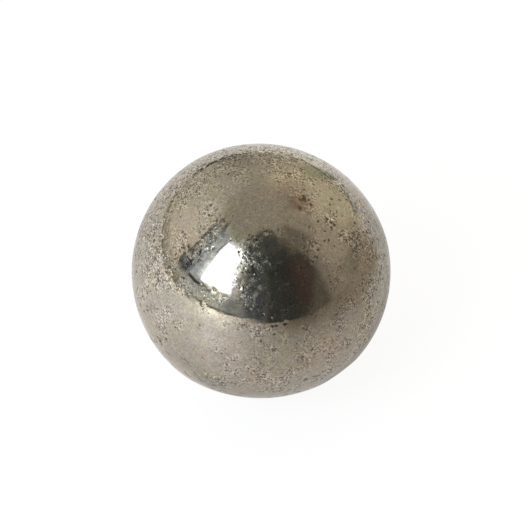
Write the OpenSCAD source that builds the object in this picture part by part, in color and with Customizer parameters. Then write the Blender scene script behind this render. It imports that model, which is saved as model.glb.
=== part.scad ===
// A worn steel ball. It is one solid: a sphere with shallow flats where use has worn it.
// The origin is the centre of the ball as it was made. +Z is up and -Y is the front.

/* [Ball] */
// Diameter of the ball as made, before wear
ball_d = 25; // [15:0.5:50]

/* [Low flat, at the front] */
// Depth worn off at its middle
low_flat_depth = 0.28; // [0.05:0.01:0.6]
// How much larger its radius is than the ball's: more makes it flatter and narrower
low_flat_extra = 1.36; // [0.2:0.02:12]

/* [High flat, at the back] */
// Depth worn off at its middle
high_flat_depth = 0.18; // [0.05:0.01:0.6]
// How much larger its radius is than the ball's: more makes it flatter and narrower
high_flat_extra = 0.34; // [0.2:0.02:12]

/* [Side flat, small, beside the low one] */
// Depth worn off at its middle
side_flat_depth = 0.15; // [0.1:0.01:0.6]
// How much larger its radius is than the ball's: more makes it flatter and narrower
side_flat_extra = 8.3; // [0.2:0.02:12]

/* [Hidden] */

ball_r = ball_d / 2;
sphere_sides = 160;

// Each flat: its turn from the front towards +X, its lift above level, its depth and its extra radius
FLATS = [
    [3, -45, low_flat_depth, low_flat_extra],
    [149, 41, high_flat_depth, high_flat_extra],
    [43, -36, side_flat_depth, side_flat_extra],
];

function direction(turn, lift) = [cos(lift) * sin(turn), -cos(lift) * cos(turn), sin(lift)];

// A flat is a cap of a sphere larger than the ball.
// The sphere is set back until it lies the flat's depth under the ball at the flat's middle.
module flat_sphere(turn, lift, depth, extra) {
    translate(-(depth + extra) * direction(turn, lift)) sphere(ball_r + extra, $fn = sphere_sides);
}

// The ball is what its own sphere and the sphere of every flat have in common.
module ball() {
    color([0.66, 0.63, 0.57])
        intersection() {
            sphere(ball_r, $fn = sphere_sides);
            intersection_for (flat = FLATS) {
                flat_sphere(flat[0], flat[1], flat[2], flat[3]);
            }
        }
}

ball();
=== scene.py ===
"""The looks of a worn steel ball: its pitted skin, its tarnished metal, and a plain studio round it."""
import math

import bpy
import numpy as np
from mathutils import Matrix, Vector, kdtree, noise
from mathutils.geometry import delaunay_2d_cdt


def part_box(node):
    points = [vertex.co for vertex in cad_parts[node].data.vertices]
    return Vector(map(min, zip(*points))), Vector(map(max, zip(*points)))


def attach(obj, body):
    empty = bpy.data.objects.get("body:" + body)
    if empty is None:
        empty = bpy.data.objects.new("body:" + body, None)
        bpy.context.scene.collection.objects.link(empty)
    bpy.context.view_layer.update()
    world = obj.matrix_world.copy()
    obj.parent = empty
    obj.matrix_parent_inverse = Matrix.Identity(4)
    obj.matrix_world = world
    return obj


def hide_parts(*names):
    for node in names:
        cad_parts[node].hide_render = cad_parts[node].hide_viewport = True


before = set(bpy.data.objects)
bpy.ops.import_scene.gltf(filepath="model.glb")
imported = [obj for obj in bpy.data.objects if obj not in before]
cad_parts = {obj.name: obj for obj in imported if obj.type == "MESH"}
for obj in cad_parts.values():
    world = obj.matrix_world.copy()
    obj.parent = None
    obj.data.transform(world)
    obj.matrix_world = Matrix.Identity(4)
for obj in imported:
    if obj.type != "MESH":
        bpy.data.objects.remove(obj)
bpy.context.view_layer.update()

MM = 0.001

# ---------------------------------------------------------------- sizes of the ball, in millimetres

low_corner, high_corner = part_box("ball")
BALL_R = high_corner.x / MM

# The wear flats, as in the part's source: turn, lift, depth, extra radius
FLATS = [
    (3, -45, 0.28, 1.36),
    (149, 41, 0.18, 0.34),
    (43, -36, 0.15, 8.3),
]
# Depth over which a flat's edge is rubbed round
EDGE_SOFTNESS = 0.05


def direction(turn, lift):
    """The unit vector turned from the front towards +X and lifted above level, both in degrees."""
    turn, lift = math.radians(turn), math.radians(lift)
    level = math.cos(lift)
    return np.array((level * math.sin(turn), -level * math.cos(turn), math.sin(lift)))


# ---------------------------------------------------------------- pits

# The marks that stand out on the seen side: turn, lift, width in millimetres, dirt
MARKS = [
    (-60, 65, 0.36, 1), (-87, 21, 0.38, 1), (-108, 32, 0.40, 1), (-28, 17, 0.28, 0.8), (130, 50, 0.42, 1),
    (104, 50, 0.44, 1), (61, 52, 0.36, 1), (61, 69, 0.46, 1), (60, 65, 0.38, 1), (47, 67, 0.34, 1),
    (56, 70, 0.32, 1), (64, 67, 0.30, 1), (60, 56, 0.30, 1), (65, 39, 0.34, 1), (76, 31, 0.36, 1),
    (49, -10, 0.28, 1), (7, 22, 0.28, 0.7), (-17, 6, 0.30, 0.8), (54, 21, 0.32, 1), (81, 58, 0.38, 1),
    (98, 78, 0.32, 0.9), (121, 73, 0.24, 0.9), (90, 67, 0.32, 0.9), (105, 60, 0.32, 1), (110, 55, 0.32, 1),
    (90, 50, 0.32, 1), (72, 54, 0.26, 0.9), (57, 52, 0.36, 1), (49, 49, 0.32, 1), (86, 36, 0.34, 1),
    (133, 65, 0.32, 1), (88, 45, 0.30, 1), (75, 44, 0.34, 1), (-50, 62, 0.22, 0.9), (-85, 50, 0.30, 0.8),
    (52, 58, 0.32, 1), (51, 53, 0.28, 1), (59, 47, 0.32, 1), (64, 42, 0.32, 1), (67, 35, 0.30, 1),
    (108, 56, 0.36, 1), (85, 54, 0.30, 1), (74, 58, 0.30, 1), (-92, 33, 0.30, 1), (-126, 39, 0.30, 1),
    (101, 62, 0.30, 1), (100, 52, 0.34, 1), (91, 45, 0.30, 1), (46, 50, 0.28, 1),
    (53, 68, 0.30, 0), (49, -8, 0.34, 1), (9, -18, 0.30, 1), (6, 18, 0.30, 0.8), (-3, -2, 0.28, 0.9),
    (23, 44, 0.44, 0.3), (15, 35, 0.60, 0.1), (9, 34, 0.46, 0.1), (3, 36, 0.44, 0.1), (2, 32, 0.54, 0.1),
    (8, 44, 0.50, 0.1), (13, 49, 0.46, 0.1), (11, 28, 0.50, 0.1), (5, 25, 0.44, 0.1), (-5, 29, 0.50, 0.1),
]
# Smooth patches with hardly a pit: turn, lift, reach in degrees
CALM = [
    (79, 57, 8), (20, 76, 20), (36, 64, 9), (-36, -3, 12), (22, 36, 14), (-26, 44, 15), (0, 38, 9),
    (-20, 66, 12), (-75, 55, 8), (-22, 19, 7), (-34, 20, 7), (-12, 15, 8), (-42, 22, 5), (50, 30, 6),
    (-58, 5, 7), (10, 5, 6), (-25, 5, 10), (-40, -22, 12), (4, 17, 5), (15, 18, 5), (14, 53, 8),
    (-128, 62, 6), (-146, 65, 6), (-26, 40, 10), (-20, 46, 6),
    (42, 45, 8), (52, 43, 5), (-32, 26, 4), (-24, 27, 4), (-15, 26, 4), (-5, 26, 4), (5, 25, 4),
    (14, 24, 4), (21, 26, 4), (68, 60, 5), (-17, 47, 4),
]
# Patches where the pits crowd: turn, lift, reach in degrees
CROWDED = [
    (-100, 38, 28), (-140, 58, 26), (-62, 26, 12), (-39, 49, 6), (60, 55, 5), (61, 45, 5), (65, 38, 6),
    (69, 30, 7), (85, 35, 8), (43, 33, 5), (45, 20, 6), (57, 17, 7), (90, 15, 16), (100, 74, 9),
    (105, 50, 10), (128, 55, 9), (66, 67, 6), (170, 64, 24), (55, 4, 12), (-43, 32, 4), (-52, 32, 4),
    (-29, 31, 3), (-19, 31, 4), (-7, 48, 6), (10, -18, 9), (6, 18, 4), (49, -8, 6),
    (2, -6, 5), (35, -13, 4), (-58, 6, 5), (-32, -8, 4), (-21, -13, 6), (-3, -2, 5),
]
# How rough the smoothest places are, where there is no pit at all
SMOOTHEST = 0.04

# The strewn pits: radii in millimetres, and how strongly the small ones outnumber the large ones
SEED = 25
PIT_COUNT = 5200
PIT_SMALLEST = 0.05
PIT_LARGEST = 0.19
PIT_POWER = 2.4
# Depth as a share of the radius, and how many times longer than wide a pit or mark is
PIT_DEPTHS = (0.12, 0.36)
PIT_STRETCHES = (1.0, 1.7)
# Depth of a mark as a share of its radius: when clean, and how much more when fully dirty
MARK_DEPTH = 0.07
MARK_DIRT_DEPTH = 0.2

# Long shallow scars that run round the ball, nearer its rim than its middle as the camera sees it
SCAR_COUNT = 140
SCAR_AXIS = (0, 45)
# Cosines of the angles from that axis between which their middles lie
SCAR_BELT = (0.02, 0.55)
# Radius of a circle as large as the scar, in millimetres, and depth as a share of it
SCAR_RADII = (0.108, 0.192)
SCAR_DEPTH = 0.16
SCAR_DIRTS = (0.4, 1.0)
SCAR_STRETCHES = (4, 10)

# Directions drawn for each pit or scar that is wanted, as some fall where none may be
PIT_TRIES = 4
SCAR_TRIES = 8


def near(dirs, spots):
    """How much each direction lies in one of the spots, from 0 outside to 1 in a middle."""
    inside = np.zeros(len(dirs))
    for turn, lift, reach in spots:
        apart = np.degrees(np.arccos(np.clip(dirs @ direction(turn, lift), -1, 1)))
        inside = np.maximum(inside, np.exp(-((apart / reach) ** 2) * 1.5))
    return inside


def noise_at(dirs, scale, shift=0.0):
    """Smooth noise over the ball, about -1 to 1, with scale waves along a radius."""
    return np.array([noise.noise(Vector(d) * scale + Vector((shift, shift, shift))) for d in dirs])


def roughness_field(dirs):
    """How rough the surface is, from 0 in a smooth patch to 1 where pits crowd."""
    middling = 0.31
    upper_left = direction(-40, 65)
    field = middling + 0.17 * (dirs @ upper_left)
    # Uneven in broad patches and in small ones
    field += 0.5 * noise_at(dirs, 5.0) + 0.6 * noise_at(dirs, 13.0, 9.0)
    field += 0.45 * near(dirs, CROWDED) - 0.7 * near(dirs, CALM)
    return np.clip(field, SMOOTHEST, 1.0)


def random_directions(rng, count):
    spread = rng.normal(size=(count, 3))
    return spread / np.linalg.norm(spread, axis=1, keepdims=True)


def strewn_pits(rng):
    """Middles, radii, depths and dirt of the pits strewn at random, more of them where it is rough."""
    tries = random_directions(rng, PIT_COUNT * PIT_TRIES)
    middles = tries[rng.random(len(tries)) < roughness_field(tries) - SMOOTHEST][:PIT_COUNT]
    low, high = PIT_SMALLEST ** -PIT_POWER, PIT_LARGEST ** -PIT_POWER
    radius = (low + rng.random(len(middles)) * (high - low)) ** (-1 / PIT_POWER)
    depth = radius * rng.uniform(*PIT_DEPTHS, len(middles))
    return middles, radius, depth, rng.uniform(0.0, 1.0, len(middles))


def marks():
    """The same of the listed marks. The clean ones are the shallowest."""
    middles = np.array([direction(turn, lift) for turn, lift, _, _ in MARKS])
    radius = np.array([width / 2 for _, _, width, _ in MARKS])
    dirt = np.array([dirt for _, _, _, dirt in MARKS])
    return middles, radius, radius * (MARK_DEPTH + MARK_DIRT_DEPTH * dirt), dirt


def scars(rng):
    """The same of the scars."""
    tries = random_directions(rng, SCAR_COUNT * SCAR_TRIES)
    facing = tries @ direction(*SCAR_AXIS)
    middles = tries[(facing > SCAR_BELT[0]) & (facing < SCAR_BELT[1])][:SCAR_COUNT]
    radius = rng.uniform(*SCAR_RADII, len(middles))
    return middles, radius, radius * SCAR_DEPTH, rng.uniform(*SCAR_DIRTS, len(middles))


def pit_table():
    """Every pit: middle, two tangents, half length, half width, depth, turn of its wobble, dirt."""
    rng = np.random.default_rng(SEED)
    groups = strewn_pits(rng), marks(), scars(rng)
    middles, radius, depth, dirt = (np.concatenate(column) for column in zip(*groups))
    count, scar_count = len(middles), len(groups[2][0])
    aside = random_directions(rng, count)
    aside[-scar_count:] = direction(*SCAR_AXIS)
    along = np.cross(aside, middles)
    along /= np.linalg.norm(along, axis=1, keepdims=True)
    across = np.cross(middles, along)
    stretch = rng.uniform(*PIT_STRETCHES, count)
    stretch[-scar_count:] = rng.uniform(*SCAR_STRETCHES, scar_count)
    turn = rng.uniform(0, 2 * math.pi, count)
    length, width = radius * np.sqrt(stretch), radius / np.sqrt(stretch)
    return middles, along, across, length, width, depth, turn, dirt


def wobble(angle, turn):
    """How far a pit's rim is from an even ellipse, at an angle round it."""
    return 1 + 0.13 * np.sin(2 * angle + turn) + 0.09 * np.sin(3 * angle + 2.3 * turn)


# ---------------------------------------------------------------- the ball's skin as a mesh

EVEN_POINTS = 22000
# Rings of points in and round a pit: share of its radius, number of points
SMALL_RINGS = [(0.6, 5), (1.2, 7)]
LARGE_RINGS = [(0.4, 6), (0.8, 9), (1.25, 11)]
# Half width from which a pit gets the large rings, in millimetres
LARGE_FROM = 0.09
# Closest that two points of the rings may lie
CLOSEST = 0.022
# Even points keep this many half lengths, and this gap, from the middle of any pit within reach
EVEN_CLEAR = 1.5
EVEN_GAP = 0.02
EVEN_REACH = 0.5
# How far the skin lies under the worn form, so that no wave of it stands out of the solid
INSET = 0.006
# Slow waves of the worn form: height in millimetres, waves along a radius, shift of the noise
WAVES = [(0.0035, 6.0, 3.0), (0.0012, 17.0, 5.0)]
# A pit's form is looked for this many half lengths out, and its bowl has this power
PIT_REACH = 2.0
BOWL_POWER = 1.5
# How steeply the dirt rises from a pit's rim to where it is full
DIRT_RISE = 1.4
# Share of its place on the map that a side of the cube fills
MAP_MARGIN = 0.94


def kd_tree(points):
    tree = kdtree.KDTree(len(points))
    for i, point in enumerate(points):
        tree.insert(point, i)
    tree.balance()
    return tree


def sphere_points():
    """Points spread evenly over the unit sphere."""
    step = np.arange(EVEN_POINTS) + 0.5
    height = 1 - 2 * step / EVEN_POINTS
    angle = math.pi * (1 + 5 ** 0.5) * step
    level = np.sqrt(1 - height ** 2)
    return np.stack([level * np.cos(angle), level * np.sin(angle), height], 1)


def ring_points(pits):
    """Unit directions of each pit's middle and of the rings of points round it."""
    middles, along, across, half_length, half_width, _, turns, _ = pits
    rings = []
    for i in range(len(middles)):
        rings.append(middles[i][None])
        large = half_width[i] > LARGE_FROM
        for share, count in (LARGE_RINGS if large else SMALL_RINGS):
            angle = np.arange(count) * 2 * math.pi / count + turns[i] + share * 7
            reach = share * wobble(angle, turns[i]) / BALL_R
            u = (reach * half_length[i] * np.cos(angle))[:, None]
            v = (reach * half_width[i] * np.sin(angle))[:, None]
            rings.append(middles[i] + u * along[i] + v * across[i])
    points = np.vstack(rings)
    return points / np.linalg.norm(points, axis=1, keepdims=True)


def thinned(points, gap):
    """The points without those that lie closer than about gap to an earlier one."""
    cells = set()
    kept = []
    for i, point in enumerate(points):
        cell = tuple((point / gap).astype(int))
        if any((cell[0] + x, cell[1] + y, cell[2] + z) in cells
               for x in (-1, 0, 1) for y in (-1, 0, 1) for z in (-1, 0, 1)):
            continue
        cells.add(cell)
        kept.append(i)
    return points[kept]


def skin_points(pits):
    """Unit directions of the mesh's vertices: rings round each pit, and even points between."""
    middles, half_length = pits[0], pits[3]
    points = thinned(ring_points(pits), CLOSEST / BALL_R)
    tree = kd_tree(middles)
    even = []
    for point in sphere_points():
        hits = tree.find_range(point, EVEN_REACH / BALL_R)
        if all(gap * BALL_R > EVEN_CLEAR * half_length[i] + EVEN_GAP for _, i, gap in hits):
            even.append(point)
    return np.vstack([points, even])


def worn_radius(dirs):
    """The distance from the centre to the worn form, in each direction."""
    radius = np.full(len(dirs), BALL_R)
    for turn, lift, depth, extra in FLATS:
        back = depth + extra
        flat_r = BALL_R + extra
        along = back * (dirs @ direction(turn, lift))
        reach = np.sqrt(along ** 2 + flat_r ** 2 - back ** 2) - along
        overlap = np.clip(0.5 + (reach - radius) / (2 * EDGE_SOFTNESS), 0, 1)
        radius = reach + (radius - reach) * overlap - EDGE_SOFTNESS * overlap * (1 - overlap)
    return radius


def sink_pits(dirs, pits):
    """How deep each vertex lies in a pit, and how dirty it is there, from 0 to 1."""
    sunk = np.zeros(len(dirs))
    inside = np.zeros(len(dirs))
    tree = kd_tree(dirs)
    for middle, along, across, half_length, half_width, depth, turn, dirt in zip(*pits):
        found = tree.find_range(middle, PIT_REACH * half_length / BALL_R)
        at = np.array([i for _, i, _ in found], int)
        if not len(at):
            continue
        away = (dirs[at] - middle) * BALL_R
        u = away @ along / half_length
        v = away @ across / half_width
        share = np.hypot(u, v) / wobble(np.arctan2(v, u), turn)
        inner = 1 - share ** 2
        bowl = np.clip(inner, 0, 1) ** BOWL_POWER
        sunk[at] = np.maximum(sunk[at], depth * bowl)
        inside[at] = np.maximum(inside[at], np.clip(DIRT_RISE * inner, 0, 1) * dirt)
    return sunk, inside


def stereographic(dirs):
    """The points on a plane, seen from the top of the sphere. It keeps circles, so the plane's
    Delaunay triangles are the sphere's."""
    return dirs[:, :2] / (1 - dirs[:, 2:])


def skin_faces(dirs):
    """Triangles over every direction but the first, which is the top and closes the hole there."""
    flat = [Vector(p) for p in stereographic(dirs[1:])]
    _, _, faces, _, _, _ = delaunay_2d_cdt(flat, [], [], 0, 1e-9)
    faces = np.array(faces) + 1
    edges = np.vstack([faces[:, [0, 1]], faces[:, [1, 2]], faces[:, [2, 0]]])
    known = set(map(tuple, edges))
    cap = [(0, b, a) for a, b in edges if (b, a) not in known]
    faces = np.vstack([faces, cap])
    corner = dirs[faces]
    normal = np.cross(corner[:, 1] - corner[:, 0], corner[:, 2] - corner[:, 0])
    facing = np.einsum("ij,ij->i", normal, corner.sum(1))
    faces[facing < 0] = faces[facing < 0][:, ::-1]
    return faces


def triangle_mesh(name, points, faces):
    """A smooth mesh of triangles, from points in metres."""
    mesh = bpy.data.meshes.new(name)
    mesh.vertices.add(len(points))
    mesh.vertices.foreach_set("co", points.astype(np.float32).ravel())
    mesh.loops.add(faces.size)
    mesh.loops.foreach_set("vertex_index", faces.astype(np.int32).ravel())
    mesh.polygons.add(len(faces))
    mesh.polygons.foreach_set("loop_start", np.arange(0, faces.size, 3, dtype=np.int32))
    mesh.update(calc_edges=True)
    mesh.polygons.foreach_set("use_smooth", np.ones(len(faces), bool))
    return mesh


def cube_map(mesh, dirs, faces):
    """A map for baking: the six sides of a cube round the ball, in three columns and two rows."""
    middle = dirs[faces].sum(1)
    axis = np.argmax(np.abs(middle), axis=1)
    side = axis * 2 + (middle[np.arange(len(faces)), axis] < 0)
    corner = dirs[faces]
    rows = np.arange(len(faces))[:, None]
    points = np.arange(3)[None]
    depth = np.abs(corner[rows, points, axis[:, None]])
    u = corner[rows, points, ((axis + 1) % 3)[:, None]] / depth
    v = corner[rows, points, ((axis + 2) % 3)[:, None]] / depth
    u = (np.arctan(u) / math.pi * 2 * MAP_MARGIN + 0.5 + (side % 3)[:, None]) / 3
    v = (np.arctan(v) / math.pi * 2 * MAP_MARGIN + 0.5 + (side // 3)[:, None]) / 2
    layer = mesh.uv_layers.new(name="OFBake")
    layer.uv.foreach_set("vector", np.stack([u, v], 2).astype(np.float32).ravel())


def ball_skin():
    """The pitted, worn skin, with how dirty and how rough it is at each vertex for its material."""
    pits = pit_table()
    dirs = skin_points(pits)
    top = (0, 0, 1)
    dirs = np.vstack([[top], dirs[dirs[:, 2] < 1 - 1e-5]])
    faces = skin_faces(dirs)
    sunk, dirt = sink_pits(dirs, pits)
    radius = worn_radius(dirs) - sunk - INSET
    for height, scale, shift in WAVES:
        radius += height * noise_at(dirs, scale, shift)
    mesh = triangle_mesh("ball_skin", dirs * radius[:, None] * MM, faces)
    for name, values in (("pit_dirt", dirt), ("rough", roughness_field(dirs))):
        layer = mesh.attributes.new(name, "FLOAT", "POINT")
        layer.data.foreach_set("value", values.astype(np.float32))
    cube_map(mesh, dirs, faces)
    skin = bpy.data.objects.new("ball_skin", mesh)
    bpy.context.collection.objects.link(skin)
    print("ball_skin:", len(dirs), "vertices,", len(faces), "faces,", len(pits[0]), "pits")
    return skin


# ---------------------------------------------------------------- nodes

# The middle of what a noise or a pattern of cells gives as a colour
MIDDLE = (0.5, 0.5, 0.5)
# Degrees in a radian
DEGREES = 180 / math.pi


class Nodes:
    """A material's node tree, with one short call for each kind of node."""

    def __init__(self, tree):
        self.tree = tree
        tree.nodes.clear()

    def add(self, kind, **settings):
        node = self.tree.nodes.new(kind)
        for name, value in settings.items():
            setattr(node, name, value)
        return node

    def put(self, socket, value):
        """Sets a socket to a value, or links it when the value is another node's output."""
        if isinstance(value, bpy.types.NodeSocket):
            self.tree.links.new(value, socket)
            return
        if socket.type == "RGBA" and len(value) == 3:
            value = (*value, 1)
        socket.default_value = value

    def math(self, operation, *values, clamp=False):
        node = self.add("ShaderNodeMath", operation=operation, use_clamp=clamp)
        for socket, value in zip(node.inputs, values):
            self.put(socket, value)
        return node.outputs[0]

    def times(self, product, *others):
        """The product of all its values."""
        for other in others:
            product = self.math("MULTIPLY", product, other)
        return product

    def ramp(self, value, start, end, low=0.0, high=1.0):
        """Turns start..end into low..high with soft ends."""
        node = self.add("ShaderNodeMapRange", interpolation_type="SMOOTHSTEP")
        for socket, number in zip(node.inputs, (value, start, end, low, high)):
            self.put(socket, number)
        return node.outputs[0]

    def between(self, value, start, end, soft):
        """1 where the value lies between start and end, and 0 outside, with soft edges."""
        return self.times(self.ramp(value, start - soft, start + soft),
                          self.ramp(value, end + soft, end - soft))

    def mix(self, factor, first, second, blend="MIX"):
        node = self.add("ShaderNodeMix", data_type="RGBA", blend_type=blend)
        sockets = node.inputs[0], node.inputs[6], node.inputs[7]
        for socket, value in zip(sockets, (factor, first, second)):
            self.put(socket, value)
        return node.outputs[2]

    def noise(self, place, scale, detail=2.0, roughness=0.5, distortion=0.0, colour=False):
        node = self.add("ShaderNodeTexNoise")
        self.put(node.inputs["Vector"], place)
        for name, value in (("Scale", scale), ("Detail", detail), ("Roughness", roughness),
                            ("Distortion", distortion)):
            node.inputs[name].default_value = value
        return node.outputs["Color" if colour else "Fac"]

    def cells(self, place, scale, smoothness=None):
        """A pattern of cells, each with a colour of its own. With a smoothness they blend."""
        blended = smoothness is not None
        node = self.add("ShaderNodeTexVoronoi", feature="SMOOTH_F1" if blended else "F1")
        self.put(node.inputs["Vector"], place)
        node.inputs["Scale"].default_value = scale
        if blended:
            node.inputs["Smoothness"].default_value = smoothness
        return node.outputs

    def vector(self, operation, *values):
        node = self.add("ShaderNodeVectorMath", operation=operation)
        for socket, value in zip(node.inputs, values):
            self.put(socket, value)
        return node.outputs["Value" if operation == "DISTANCE" else "Vector"]

    def scaled(self, value, share):
        """A colour or vector times a number."""
        node = self.add("ShaderNodeVectorMath", operation="SCALE")
        self.put(node.inputs[0], value)
        self.put(node.inputs["Scale"], share)
        return node.outputs[0]

    def channels(self, colour):
        node = self.add("ShaderNodeSeparateColor")
        self.put(node.inputs[0], colour)
        return node.outputs

    def axes(self, vector):
        node = self.add("ShaderNodeSeparateXYZ")
        self.put(node.inputs[0], vector)
        return node.outputs

    def place(self):
        """Where a point is, in its object's metres."""
        return self.add("ShaderNodeTexCoord").outputs["Object"]

    def turn_of(self, x, y):
        """The turn of a point from the front towards +X, in degrees."""
        return self.times(self.math("ARCTAN2", x, self.times(y, -1.0)), DEGREES)

    def attribute(self, name):
        return self.add("ShaderNodeAttribute", attribute_name=name).outputs["Fac"]

    def surface(self, shader):
        self.put(self.add("ShaderNodeOutputMaterial").inputs["Surface"], shader.outputs[0])


def new_material(name, kind):
    """A material, and its nodes as one of the classes here."""
    material = bpy.data.materials.new(name)
    material.use_nodes = True
    return material, kind(material.node_tree)


# ---------------------------------------------------------------- the metal

# Stains and worn places on the seen side, and a few spots of painted shade and painted highlight
# where the metal mirrors dark places and glare: turn, lift, reach in degrees, strength, colour
TINTS = [
    (77, 57, 11, 0.65, (0.465, 0.45, 0.355)),
    (59, 73, 11, 0.75, (0.345, 0.275, 0.225)),
    (55, 69, 6, 0.6, (0.29, 0.195, 0.145)),
    (57, 63, 3.5, 0.45, (0.33, 0.27, 0.22)),
    (62, 69, 2.6, 0.85, (0.10, 0.06, 0.04)),
    (57, 68, 2.2, 0.6, (0.17, 0.11, 0.08)),
    (48, 67, 2.4, 0.6, (0.20, 0.135, 0.10)),
    (51, 63, 2.2, 0.5, (0.21, 0.14, 0.10)),
    (-38, 21, 9, 0.3, (0.62, 0.57, 0.49)),
    # Painted highlight: lighter where the metal mirrors the floor's glare below the window
    (-22, 23, 8, 0.5, (0.66, 0.61, 0.53)),
    (-26, 11, 9, 0.4, (0.58, 0.52, 0.45)),
    (-50, 12, 9, 0.3, (0.56, 0.51, 0.44)),
    (112, 65, 8, 0.8, (0.29, 0.305, 0.22)),
    (114, 60, 4, 0.8, (0.24, 0.25, 0.17)),
    (110, 56, 4.5, 0.9, (0.21, 0.22, 0.155)),
    (102, 51, 3, 0.6, (0.30, 0.31, 0.22)),
    (43, 15, 14, 0.5, (0.475, 0.40, 0.335)),
    (53, -3, 11, 0.5, (0.475, 0.40, 0.335)),
    (28, 1, 8, 0.3, (0.475, 0.40, 0.335)),
    (138, 60, 4, 0.4, (0.28, 0.30, 0.22)),
    # Painted shade: darker where the metal mirrors the dark corner left of the window
    (-47.5, 40.5, 2.8, 0.6, (0.17, 0.175, 0.17)),
    (35, -21, 7, 0.6, (0.42, 0.44, 0.43)),
    (10, 15, 6, 0.4, (0.40, 0.41, 0.32)),
    (2, 8, 5, 0.35, (0.52, 0.47, 0.34)),
    (-12, 8, 7, 0.4, (0.50, 0.42, 0.36)),
    (-150, 62, 10, 0.4, (0.42, 0.37, 0.32)),
    (-120, 62, 9, 0.4, (0.49, 0.42, 0.36)),
    (-90, 33, 8, 0.4, (0.44, 0.43, 0.38)),
    (-126, 39, 9, 0.4, (0.44, 0.43, 0.38)),
    (-70, 50, 9, 0.4, (0.475, 0.43, 0.36)),
    (-52, 65, 6, 0.4, (0.56, 0.51, 0.43)),
    (72, 52, 5, 0.4, (0.53, 0.50, 0.41)),
    (-24, 14, 6, 0.5, (0.56, 0.485, 0.42)),
    (-33, 1, 7, 0.45, (0.48, 0.41, 0.35)),
    # Painted highlight: lighter where the metal mirrors the floor's glare below the window
    (-23, 25, 4, 0.5, (0.68, 0.645, 0.575)),
    (-28, -4, 4, 0.5, (0.48, 0.46, 0.36)),
    (-20, -18, 5, 0.5, (0.42, 0.425, 0.36)),
    # Painted shade: darker where the metal mirrors the dark corner left of the window
    (-44, 39, 3, 0.4, (0.24, 0.25, 0.25)),
]
# Places rubbed bright, where the metal mirrors sharply: turn, lift, reach in degrees
POLISHED = [
    (-40, 26, 5), (-28, 25, 6), (-12, 23, 8), (0, 22, 8), (12, 21, 8), (-28, 52, 6),
    (-126, 62, 8), (-146, 65, 8), (-68, 39, 6), (-80, 43, 5), (-92, 47, 6), (-106, 56, 6),
    (-33, 65, 5), (-50, 30, 5), (-50, 39, 5), (120, 60, 6), (105, 53, 5), (135, 64, 6),
    (-53, 46, 5), (-56, 53, 5), (-56, 60, 5), (-52, 66, 5), (-42, 37, 4), (-37, 35, 4),
    (-48, 41, 4),
]
# Flaked places round the window's glare: turn, lift, reach in degrees, strength
FLAKED = [
    (-11, 55, 6, 0.4), (-8, 47, 5, 0.4), (-6, 37, 7, 0.65), (-12, 41, 5, 0.5), (0, 50, 6, 0.2),
    (2, 41, 6, 0.25), (3, 33, 6, 0.25), (-45, 42, 5, 0.8), (-40, 46, 5, 0.8), (-38, 51, 5, 0.8),
    (-36, 56, 5, 0.8), (-31, 61, 5, 0.7), (-46, 36, 5, 0.6), (-38, 31, 4, 0.3),
    (-31, 31, 4, 0.4), (-25, 31, 4, 0.5), (-19, 32, 4, 0.5),
]
# Places with dull smears beside the glare: turn, lift, reach in degrees, strength
SMEARED = [(-1, 43, 17, 1.0), (5, 28, 12, 0.7)]

# Colours of the metal and of what lies on it
PINKISH_GREY = (0.475, 0.415, 0.345)
OLIVE_GREY = (0.455, 0.42, 0.34)
PALE_BLOTCH = (0.60, 0.55, 0.465)
DULL_BLOTCH = (0.34, 0.30, 0.25)
WARMER = (1.02, 1.0, 0.955)
COOLER = (0.985, 1.0, 1.035)
# Round the pocks' rims: partly burnished metal, partly a painted glint
BURNISH_AND_GLINT = (0.80, 0.75, 0.66)
POCK_DIRT = (0.13, 0.10, 0.07)
PIT_DIRT = (0.12, 0.085, 0.055)
EDGE_TINT = (0.88, 0.87, 0.85)

# How fine each pattern is, in waves or cells to the metre
CLOUDS = 150
BLOTCHES = 640
RAGGED = 900
HUES = 1100
COARSE_RELIEF = 1300
WIDE_POCKS = 1500
SMEARS = 1500
BROAD_GRAIN = 2300
FLAKES = 2500
FINE_POCKS = 2700
FACETS = 3300
WANDER = 4200
FINE_RELIEF = 4300
GRAIN = 5600

# How far the noise bends the pocks and facets, and the flakes, in metres
BEND = 0.0005
FLAKE_BEND = 0.0009
# Depth of the relief in metres
RELIEF_DEPTH = 0.000014
# Tilt of the flakes, and of the facets in smooth and in rough places
FLAKE_TILT = 0.105
FACET_TILTS = (0.006, 0.07)
# What polish leaves of the roughness and the relief
LEFT_BY_POLISH = 0.35
# How ragged a spot's edge is, and how far out the spot is whole, as shares of its reach
SPOT_RAGGED = 1.2
SPOT_WHOLE = 0.35


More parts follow.
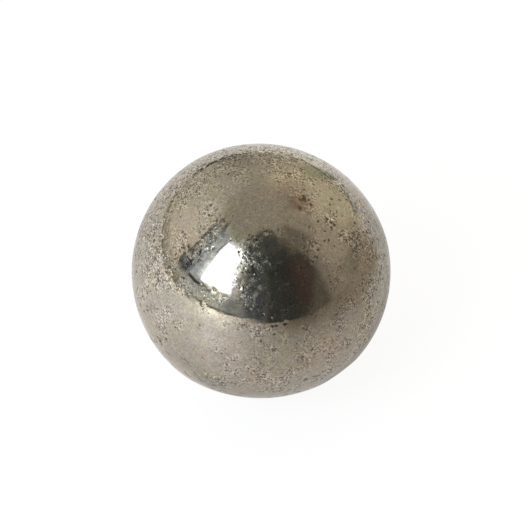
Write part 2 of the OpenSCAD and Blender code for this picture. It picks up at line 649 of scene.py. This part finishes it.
class Steel(Nodes):
    """Worn steel with a warm tarnish. The mesh carries how rough and how dirty it is at each point."""

    def __init__(self, tree):
        super().__init__(tree)
        self.at = self.place()
        self.dirt = self.attribute("pit_dirt")
        self.rough = self.attribute("rough")
        self.many = self.ramp(self.rough, 0.1, 0.9, 0.2, 1.0)
        self.blotches = self.noise(self.at, BLOTCHES, 5, 0.7, 0.5)
        self.ragged = self.noise(self.at, RAGGED, 4, 0.65)
        wander = self.vector("SUBTRACT", self.noise(self.at, WANDER, 2, 0.6, colour=True), MIDDLE)
        self.bent = self.vector("ADD", self.at, self.scaled(wander, BEND))
        self.pock, self.pock_rim = self.pocks()
        self.unpolished = self.ramp(self.strongest(POLISHED), 0, 1, 1, LEFT_BY_POLISH)
        self.flaked = self.strongest(FLAKED)
        flake_place = self.vector("ADD", self.at, self.scaled(wander, FLAKE_BEND))
        self.flake_colour = self.cells(flake_place, FLAKES)["Color"]
        self.flake_own = self.channels(self.flake_colour)

    def spot(self, turn, lift, reach):
        """1 in the middle of a spot on the ball and 0 outside its reach, with a ragged edge."""
        middle = Vector(direction(turn, lift)) * BALL_R * MM
        size = math.radians(reach) * BALL_R * MM
        away = self.vector("DISTANCE", self.at, tuple(middle))
        unevenness = self.times(self.math("SUBTRACT", self.ragged, 0.5), SPOT_RAGGED * size)
        return self.ramp(self.math("ADD", away, unevenness), size, SPOT_WHOLE * size)

    def strongest(self, spots):
        """At each point the strongest of the spots: turn, lift, reach and, where given, strength."""
        most = 0.0
        for turn, lift, reach, *strength in spots:
            here = self.times(self.spot(turn, lift, reach), *strength)
            most = self.math("MAXIMUM", most, here)
        return most

    def pock_layer(self, scale, share, small, large):
        """Small round marks strewn over the surface: 1 inside them, and 1 on the rims round them.
        Share is how many there are, and small and large are radii, as a part of their spacing."""
        cells = self.cells(self.bent, scale)
        chance = self.channels(cells["Color"])
        there = self.math("LESS_THAN", chance[0], share)
        radius = self.ramp(chance[1], 0, 1, small, large)
        away = self.math("DIVIDE", cells["Distance"], radius)
        inside = self.ramp(away, 1.0, 0.6)
        rim = self.times(self.ramp(away, 0.85, 1.05), self.ramp(away, 1.6, 1.2))
        return self.times(inside, there), self.times(rim, there)

    def pocks(self):
        """Fine and wide pocks together: 1 inside them, and 1 on the rims round them."""
        fine, fine_rim = self.pock_layer(FINE_POCKS, self.many, 0.14, 0.33)
        few = self.ramp(self.rough, 0.35, 1, 0, 0.8)
        wide, wide_rim = self.pock_layer(WIDE_POCKS, few, 0.1, 0.2)
        return self.math("MAXIMUM", fine, wide), self.math("MAXIMUM", fine_rim, wide_rim)

    def tarnish(self):
        """Broad olive and pinkish clouds, the stains with a few spots of painted shade and painted
        highlight among them, and paler and duller blotches over them.
        """
        clouds = self.ramp(self.noise(self.at, CLOUDS, 3, 0.6), 0.38, 0.64)
        colour = self.mix(clouds, PINKISH_GREY, OLIVE_GREY)
        for turn, lift, reach, share, tint in TINTS:
            colour = self.mix(self.times(self.spot(turn, lift, reach), share), colour, tint)
        colour = self.mix(self.ramp(self.blotches, 0.54, 0.64, 0, 0.35), colour, PALE_BLOTCH)
        return self.mix(self.ramp(self.blotches, 0.46, 0.36, 0, 0.45), colour, DULL_BLOTCH)

    def grain(self):
        """Lighter and darker specks finer than the mesh, about a fifth of a millimetre wide."""
        fine = self.math("SUBTRACT", self.noise(self.at, GRAIN, 2, 0.7), 0.5)
        broad = self.math("SUBTRACT", self.noise(self.at, BROAD_GRAIN, 2, 0.6), 0.5)
        grain = self.math("ADD", fine, self.times(broad, 0.3))
        grain = self.times(grain, self.times(self.many, 6.0))
        return self.math("MAXIMUM", self.math("MINIMUM", grain, 1.1), -0.8)

    def colour(self):
        colour = self.scaled(self.tarnish(), self.math("ADD", self.grain(), 1.0))
        hue = self.ramp(self.noise(self.at, HUES, 3, 0.6), 0.38, 0.62)
        colour = self.mix(1.0, colour, self.mix(hue, WARMER, COOLER), "MULTIPLY")
        # Pocks are dark inside, and lighter round the rim: partly burnished metal, partly a painted glint
        colour = self.mix(self.times(self.pock_rim, 0.45), colour, BURNISH_AND_GLINT)
        colour = self.mix(self.times(self.pock, 0.7), colour, POCK_DIRT)
        old_dirt = self.times(self.ramp(self.dirt, 0.05, 0.8), 0.8)
        colour = self.mix(old_dirt, colour, PIT_DIRT)
        # Each flake has a brightness of its own
        shade = self.times(self.ramp(self.flake_own[1], 0.2, 0.8, -0.55, 0.3), self.flaked)
        return self.scaled(colour, self.math("ADD", shade, 1.0))

    def roughness(self):
        roughness = self.ramp(self.blotches, 0.4, 0.6, 0.045, 0.085)
        roughness = self.math("ADD", roughness, self.times(self.rough, 0.05))
        roughness = self.math("ADD", roughness, self.times(self.pock, 0.2))
        roughness = self.math("ADD", roughness, self.times(self.dirt, 0.35), clamp=True)
        smear = self.ramp(self.noise(self.bent, SMEARS, 3, 0.6, 0.6), 0.5, 0.68)
        smears = self.times(smear, self.strongest(SMEARED), 0.3)
        roughness = self.times(self.math("ADD", roughness, smears), self.unpolished)
        # Each flake is dull in its own measure
        dulled = self.times(self.ramp(self.flake_own[0], 0.2, 0.8, 0.04, 0.34), self.flaked)
        return self.math("ADD", roughness, dulled, clamp=True)

    def relief(self):
        """The bumps of the worn surface, and the sunken pocks."""
        fine = self.noise(self.at, FINE_RELIEF, 2, 0.7)
        fine = self.times(fine, self.ramp(self.rough, 0.1, 1, 0.05, 0.8))
        coarse = self.noise(self.at, COARSE_RELIEF, 5, 0.75)
        coarse = self.times(coarse, self.ramp(self.rough, 0.1, 1, 0.05, 0.4))
        sunken = self.times(self.pock, self.ramp(self.many, 0.3, 1, 0.1, 1.8))
        bump = self.add("ShaderNodeBump")
        self.put(bump.inputs["Strength"], self.unpolished)
        bump.inputs["Distance"].default_value = RELIEF_DEPTH
        height = self.math("SUBTRACT", self.math("ADD", fine, coarse), sunken)
        self.put(bump.inputs["Height"], height)
        return bump.outputs[0]

    def normal(self):
        """The relief, cut into worn facets a third of a millimetre across, each tilted a little its
        own way, and round the window's glare into larger flakes, which tilt more."""
        facets = self.cells(self.bent, FACETS, smoothness=0.25)["Color"]
        facet_tilt = self.times(self.ramp(self.rough, 0.2, 1.0, *FACET_TILTS), self.unpolished)
        tilt = self.scaled(self.vector("SUBTRACT", facets, MIDDLE), facet_tilt)
        flake_tilt = self.scaled(self.vector("SUBTRACT", self.flake_colour, MIDDLE),
                                 self.times(self.flaked, FLAKE_TILT))
        tilt = self.vector("ADD", tilt, flake_tilt)
        return self.vector("NORMALIZE", self.vector("ADD", self.relief(), tilt))


def steel():
    material, n = new_material("worn_steel", Steel)
    shader = n.add("ShaderNodeBsdfPrincipled")
    shader.inputs["Specular Tint"].default_value = (*EDGE_TINT, 1)
    n.put(shader.inputs["Base Color"], n.colour())
    n.put(shader.inputs["Metallic"], n.ramp(n.dirt, 0.2, 1.0, 1.0, 0.5))
    n.put(shader.inputs["Roughness"], n.roughness())
    n.put(shader.inputs["Normal"], n.normal())
    n.surface(shader)
    return material


# ---------------------------------------------------------------- the studio

# Sizes in metres
SHELL_R = 1.2
FLOOR_HALF = 1.3
# The floor's own pale colour, the strength of its glow, and the share of the glow that the camera
# and the metal see. The rest is matt and takes the ball's shadow.
FLOOR_WHITE = (0.8, 0.8, 0.8)
GLOW = 1.5
GLOW_SEEN = 0.75
GLOW_MIRRORED = 0.85


class Room(Nodes):
    """What the metal mirrors above the floor: a colour for each direction, built up card by card.
    A direction has a turn from the front towards +X and a lift above level, in degrees."""

    def __init__(self, tree):
        super().__init__(tree)
        x, y, z = self.axes(self.vector("NORMALIZE", self.place()))
        self.turn = self.turn_of(x, y)
        self.lift = self.times(self.math("ARCSINE", z), DEGREES)
        # Turns by which the edge that leans left of the window, and the edges that slant out at
        # the dark middle's right, stand upright
        above = self.math("MAXIMUM", self.math("SUBTRACT", self.lift, 29), 0.0)
        self.lean = self.math("ADD", self.turn, self.times(above, above, 0.022))
        self.slant = self.math("SUBTRACT", self.turn, self.times(self.lift, 0.45))
        self.colour = None

    def cover(self, shade, where):
        self.colour = self.mix(where, self.colour, shade)

    def card(self, shade, turns, lifts, turn_soft, lift_soft, share=1.0):
        """A card between two turns and two lifts, with the softness of its upright and its level
        edges. Share is how much of it shows."""
        where = self.times(self.between(self.turn, *turns, turn_soft),
                           self.between(self.lift, *lifts, lift_soft), share)
        self.cover(shade, where)

    def leaning(self, shade, start, end, lifts, soft):
        """A card whose left edge leans and whose right edge is upright."""
        where = self.times(self.ramp(self.lean, start - soft, start + soft),
                           self.ramp(self.turn, end + soft, end - soft),
                           self.between(self.lift, *lifts, 3))
        self.cover(shade, where)

    def slanted(self, shade, start, end, lifts, soft, lift_soft):
        """A card whose right edge leans out. End is the turn at which that edge meets the floor."""
        where = self.times(self.ramp(self.turn, start - soft, start + soft),
                           self.ramp(self.slant, end + soft, end - soft),
                           self.between(self.lift, *lifts, lift_soft))
        self.cover(shade, where)

    def walls(self):
        """Tan walls, lightest at the left, and a duller ceiling."""
        self.colour = self.mix(self.ramp(self.turn, -190, -100),
                               (0.48, 0.46, 0.40), (0.89, 0.862, 0.79))
        self.cover((0.29, 0.265, 0.23), self.ramp(self.turn, 0, 50))
        self.cover((0.73, 0.67, 0.535), self.ramp(self.turn, 50, 140))
        self.cover((0.56, 0.525, 0.44), self.ramp(self.turn, 156, 180))
        dim = self.times(self.between(self.turn, -176, -165, 3), self.ramp(self.lift, 26, 18))
        self.cover((0.38, 0.36, 0.31), dim)
        ceiling = self.mix(self.ramp(self.turn, -80, 20),
                           (0.455, 0.43, 0.375), (0.45, 0.42, 0.355))
        self.cover(ceiling, self.ramp(self.lift, 42, 66))
        # Lighter low down at the left and under the window, and duller over it
        self.card((0.66, 0.65, 0.56), (-130, -88), (-2, 10), 8, 4)
        self.card((0.75, 0.79, 0.76), (-88, -26), (-2, 17), 2, 1)
        self.card((0.45, 0.46, 0.39), (-96, -34), (58, 71), 14, 5)

    def window_side(self):
        """The dark edge and the bluish band left of the window, and the light that fades from it."""
        edge = self.mix(self.ramp(self.lift, 26, 58), (0.085, 0.085, 0.066), (0.17, 0.17, 0.14))
        self.leaning(edge, -85.6, -76, (12, 60), 1.2)
        band = self.mix(self.ramp(self.turn, -86, -70), (0.27, 0.31, 0.34), (0.62, 0.72, 0.82))
        self.leaning(band, -78, -55, (13, 60), 2)
        # The window's bright surround, and a thin dark line in it
        self.card((1.4, 1.6, 1.8), (-64, -50), (21.5, 35), 2.5, 2)
        self.card((0.95, 1.05, 1.15), (-65.5, -50), (35, 56), 3, 4)
        self.card((0.85, 0.97, 1.08), (-79, -66), (48, 54), 2, 2)
        self.card((1.4, 1.55, 1.65), (-50, -43), (18.3, 22), 2, 1)
        self.card((1.2, 1.3, 1.4), (-61, -45), (58, 62), 3, 1.5)
        self.card((0.12, 0.13, 0.14), (-62.2, -61), (45, 56), 0.5, 2)
        # The dark corner at the band's left end
        self.card((0.19, 0.215, 0.235), (-83, -75), (14, 31), 3, 4)
        self.card((0.085, 0.095, 0.105), (-84, -71.5), (20, 33), 2, 2)
        self.card((0.12, 0.12, 0.10), (-90.5, -84), (24, 29), 1.5, 2)
        self.card((0.04, 0.045, 0.043), (-87, -81), (14, 27), 1.5, 3)
        # Right of the window and over it
        self.card((0.78, 0.84, 0.87), (-32, -24), (18, 52), 4, 5)
        self.card((0.13, 0.137, 0.125), (-34, -8), (56.5, 71), 5, 3)

    def dark_middle(self):
        """The dark card on the camera's side, bluish at its left and brown at its right."""
        self.card((0.113, 0.133, 0.152), (-21, 8), (-1, 76), 9, 4)
        self.card((0.36, 0.40, 0.41), (-34, -14), (-1, 18), 7, 2)
        self.card((0.11, 0.118, 0.11), (-18, 46), (62, 79.5), 9, 3)
        self.card((0.19, 0.175, 0.145), (38, 60), (52, 68), 7, 4)
        self.card((0.15, 0.135, 0.113), (20, 60), (-6, 54), 5, 4)
        self.slanted((0.062, 0.07, 0.07), 2, 39, (-3, 50), 7, 4)
        self.card((0.068, 0.075, 0.075), (2, 45), (46, 63), 8, 4)
        self.card((0.082, 0.09, 0.088), (4, 34), (61, 71), 8, 4)
        self.card((0.055, 0.052, 0.050), (20, 40), (12, 50), 6, 9)
        self.slanted((0.088, 0.062, 0.058), 34, 38, (4, 46), 7, 8)
        self.card((0.105, 0.083, 0.075), (44, 58), (26, 46), 6, 6)

    def right_wall(self):
        """Darker and lighter places of the wall at the right."""
        self.card((0.23, 0.213, 0.178), (58, 84), (44, 72), 7, 7)
        self.card((0.40, 0.37, 0.305), (88, 106), (48, 62), 6, 4, 0.8)
        self.card((0.53, 0.49, 0.40), (74, 94), (22, 46), 6, 6, 0.7)
        self.card((0.29, 0.27, 0.23), (82, 120), (-2, 14), 10, 5, 0.8)

    def foot_lines(self):
        """The thin lines of a sill and, down to the floor's far edge, of a skirting."""
        # The sill is level up to a turn of -62, and then rises a little
        rise = self.times(self.math("MAXIMUM", self.math("ADD", self.turn, 62), 0.0), 0.04)
        sill_lift = self.math("SUBTRACT", self.lift, rise)
        self.cover((0.09, 0.09, 0.072), self.times(self.between(self.turn, -86, -46, 2),
                                                   self.between(sill_lift, 14.8, 17.5, 0.8)))
        far_edge = self.mix(self.ramp(self.turn, -36, 2), (1.5, 1.5, 1.45), (0.36, 0.34, 0.30))
        self.card(far_edge, (-56, -4), (-2, 3.1), 5, 0.5)
        self.card((0.50, 0.49, 0.42), (-128, -77), (1.9, 8.4), 5, 0.8)
        self.card((0.28, 0.28, 0.23), (-120, -92), (2.4, 3.6), 5, 0.6)
        self.card((0.28, 0.28, 0.23), (-84, -64), (1.6, 3.2), 4, 0.6)
        self.card((0.98, 0.98, 0.93), (-130, -62), (-2, 1.8), 5, 0.4)
        self.card((0.30, 0.30, 0.25), (-96, -77), (0.8, 4.4), 3, 0.6)
        self.card((0.17, 0.17, 0.135), (-64, -22), (3.4, 5.4), 5, 0.5)
        self.card((0.34, 0.34, 0.27), (-154, -126), (1.4, 3.6), 5, 0.8)
        self.card((0.10, 0.10, 0.08), (-179, -154), (-1, 4), 5, 1)
        self.card((0.28, 0.27, 0.22), (158, 176), (-1, 2.4), 5, 0.8)
        self.card((0.20, 0.19, 0.15), (130, 158), (-1, 2.4), 5, 0.8)


def shell_material():
    """A room of plain cards, which light the metal by reflection alone."""
    material, n = new_material("studio_shell", Room)
    n.walls()
    n.window_side()
    n.dark_middle()
    n.right_wall()
    n.foot_lines()
    shader = n.add("ShaderNodeEmission")
    n.put(shader.inputs["Color"], n.colour)
    n.surface(shader)
    material.cycles.emission_sampling = "NONE"
    return material


def studio_shell():
    """A shell round the ball. The camera doesn't see it, so every view has a white background."""
    bpy.ops.mesh.primitive_uv_sphere_add(segments=96, ring_count=48, radius=SHELL_R)
    shell = bpy.context.object
    shell.name = "studio_shell"
    shell.data.materials.append(shell_material())
    shell.visible_camera = False


class Ground(Nodes):
    """What the metal mirrors of the floor, built up patch by patch of painted light and painted
    shade. A point of it has a turn, as in the room, and a drop below level as seen from the
    ball's middle, in degrees."""

    def __init__(self, tree):
        super().__init__(tree)
        self.x, self.y, _ = self.axes(self.place())
        self.turn = self.turn_of(self.x, self.y)
        squares = self.math("ADD", self.times(self.x, self.x), self.times(self.y, self.y))
        self.away = self.math("SQRT", squares)
        self.drop = self.times(self.math("ARCTAN2", BALL_R * MM, self.away), DEGREES)
        self.colour = self.mix(self.ramp(self.drop, 30, 42), (0.465, 0.465, 0.465), (0.47, 0.465, 0.46))

    def cover(self, shade, where):
        self.colour = self.mix(where, self.colour, shade)

    def patch(self, shade, turns, soft, drops):
        """A patch between two turns, which is gone at the first drop and whole at the second."""
        where = self.times(self.between(self.turn, *turns, soft), self.ramp(self.drop, *drops))
        self.cover(shade, where)

    def band(self, shade, turns, soft, drops, drop_soft, share=1.0):
        """A patch between two turns and two drops. Share is how much of it shows."""
        where = self.times(self.between(self.turn, *turns, soft),
                           self.between(self.drop, *drops, drop_soft), share)
        self.cover(shade, where)

    def by_turn(self):
        """Painted light on the floor towards the window, and painted shade at the other side."""
        # Painted shade at the right, then painted light over the floor towards the window, at the left
        self.band((0.435, 0.41, 0.39), (-6, 92), 12, (16, 34), 4)
        left = self.mix(self.ramp(self.drop, 14, 30), (0.59, 0.58, 0.58), (0.675, 0.665, 0.67))
        self.cover(left, self.between(self.turn, -178, -69, 16))
        self.patch((0.65, 0.64, 0.645), (-190, -143), 8, (24, 14))
        self.patch((0.61, 0.60, 0.60), (-78, -48), 8, (34, 44))
        self.patch((0.725, 0.735, 0.745), (-114, -16), 12, (45, 10))
        self.band((0.68, 0.68, 0.69), (-42, -7), 8, (17, 38), 5, 0.3)
        # Painted highlight: the window's glare on the floor
        self.patch((1.0, 1.0, 0.975), (-56, -25), 9, (9, 1.5))
        # Painted shade on the floor at the side away from the window
        self.patch((0.188, 0.155, 0.123), (7, 98), 20, (28, 0))
        self.patch((0.10, 0.086, 0.068), (22, 49), 8, (9, 0))
        self.patch((0.26, 0.22, 0.18), (79, 119), 10, (18, 8))
        # Painted shade on the floor near the ball, nearer the more it lies to the right
        tilted_drop = self.math("ADD", self.drop, self.times(self.turn, 0.4))
        self.cover((0.365, 0.36, 0.355), self.times(self.between(self.turn, 50, 116, 8),
                                                    self.ramp(tilted_drop, 67, 72)))

    def behind(self):
        """Straight behind the ball, as the camera looks, the floor is even and lighter: painted light."""
        toward = self.math("ADD", self.times(self.x, 0.14), self.times(self.y, 0.99))
        facing = self.math("DIVIDE", toward, self.away)
        self.cover((0.66, 0.66, 0.66), self.times(self.ramp(facing, 0.80, 0.98),
                                                  self.ramp(self.drop, 50, 32)))
        self.cover((0.76, 0.76, 0.74), self.times(self.ramp(facing, 0.96, 0.997),
                                                  self.ramp(self.drop, 18, 10)))


def floor_material():
    """White to the camera and pale in the metal, but for the ball's soft shadow, with patches of painted
    light and painted shade in the metal.
    """
    material, n = new_material("pale_floor", Ground)
    n.by_turn()
    n.behind()
    # Painted light on the far floor towards the window
    n.patch((1.0, 1.0, 1.0), (-90, -60), 10, (4, 1.5))
    paths = n.add("ShaderNodeLightPath").outputs
    n.cover(FLOOR_WHITE, paths["Is Camera Ray"])
    in_metal = n.math("MAXIMUM", paths["Is Glossy Ray"], paths["Is Transmission Ray"])
    glow_share = n.math("MAXIMUM", n.times(paths["Is Camera Ray"], GLOW_SEEN),
                        n.times(in_metal, GLOW_MIRRORED))
    matte = n.add("ShaderNodeBsdfDiffuse")
    n.put(matte.inputs["Color"], FLOOR_WHITE)
    glow = n.add("ShaderNodeEmission")
    n.put(glow.inputs["Color"], n.colour)
    glow.inputs["Strength"].default_value = GLOW
    shown = n.add("ShaderNodeMixShader")
    n.put(shown.inputs[0], glow_share)
    n.put(shown.inputs[1], matte.outputs[0])
    n.put(shown.inputs[2], glow.outputs[0])
    n.surface(shown)
    return material


def studio_floor():
    """A pale floor under the ball."""
    bpy.ops.mesh.primitive_plane_add(size=2 * FLOOR_HALF, location=(0, 0, low_corner.z))
    plane = bpy.context.object
    plane.name = "floor"
    plane.data.materials.append(floor_material())


def window_light():
    """The one soft lamp: an upright panel to the left of the camera, with its foot above the floor."""
    turn, half_turn, low_lift, high_lift = -43.5, 15.5, 21, 59
    away = 0.6
    radiance = 3.2
    foot = away * math.tan(math.radians(low_lift))
    head = away * math.tan(math.radians(high_lift))
    light = bpy.data.lights.new("window", "AREA")
    light.shape = "RECTANGLE"
    light.size = 2 * away * math.tan(math.radians(half_turn))
    light.size_y = head - foot
    light.color = (0.74, 0.87, 1.0)
    light.energy = radiance * math.pi * light.size * light.size_y
    lamp = bpy.data.objects.new("window", light)
    bpy.context.collection.objects.link(lamp)
    toward = Vector(direction(turn, 0))
    lamp.location = toward * away + Vector((0, 0, (foot + head) / 2))
    lamp.rotation_euler = toward.to_track_quat("Z", "Y").to_euler()
    lamp.visible_camera = False


def white_world():
    world = bpy.data.worlds.new("white")
    world.use_nodes = True
    world.node_tree.nodes["Background"].inputs["Color"].default_value = (1, 1, 1, 1)
    bpy.context.scene.world = world


def camera():
    """Looks down on the front at 45 degrees, with the ball a little left of and below the middle."""
    lens = 130
    away = 0.1843
    rise = math.radians(45)
    # How far right of and above the ball's middle the camera aims, in millimetres
    aim_right, aim_up = 0.28, 0.73
    data = bpy.data.cameras.new("camera")
    data.lens = lens
    data.clip_start = 0.005
    eye = bpy.data.objects.new("camera", data)
    bpy.context.collection.objects.link(eye)
    up = Vector((0, math.sin(rise), math.cos(rise)))
    aim = (Vector((aim_right, 0, 0)) + up * aim_up) * MM
    back = Vector((0, -math.cos(rise), math.sin(rise)))
    eye.location = aim + back * away
    eye.rotation_euler = back.to_track_quat("Z", "Y").to_euler()
    bpy.context.scene.camera = eye


# ---------------------------------------------------------------- the scene

skin = ball_skin()
skin.data.materials.append(steel())
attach(skin, "root")
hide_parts("ball")

studio_floor()
studio_shell()
window_light()
white_world()
camera()
bpy.context.scene.view_settings.view_transform = "Standard"
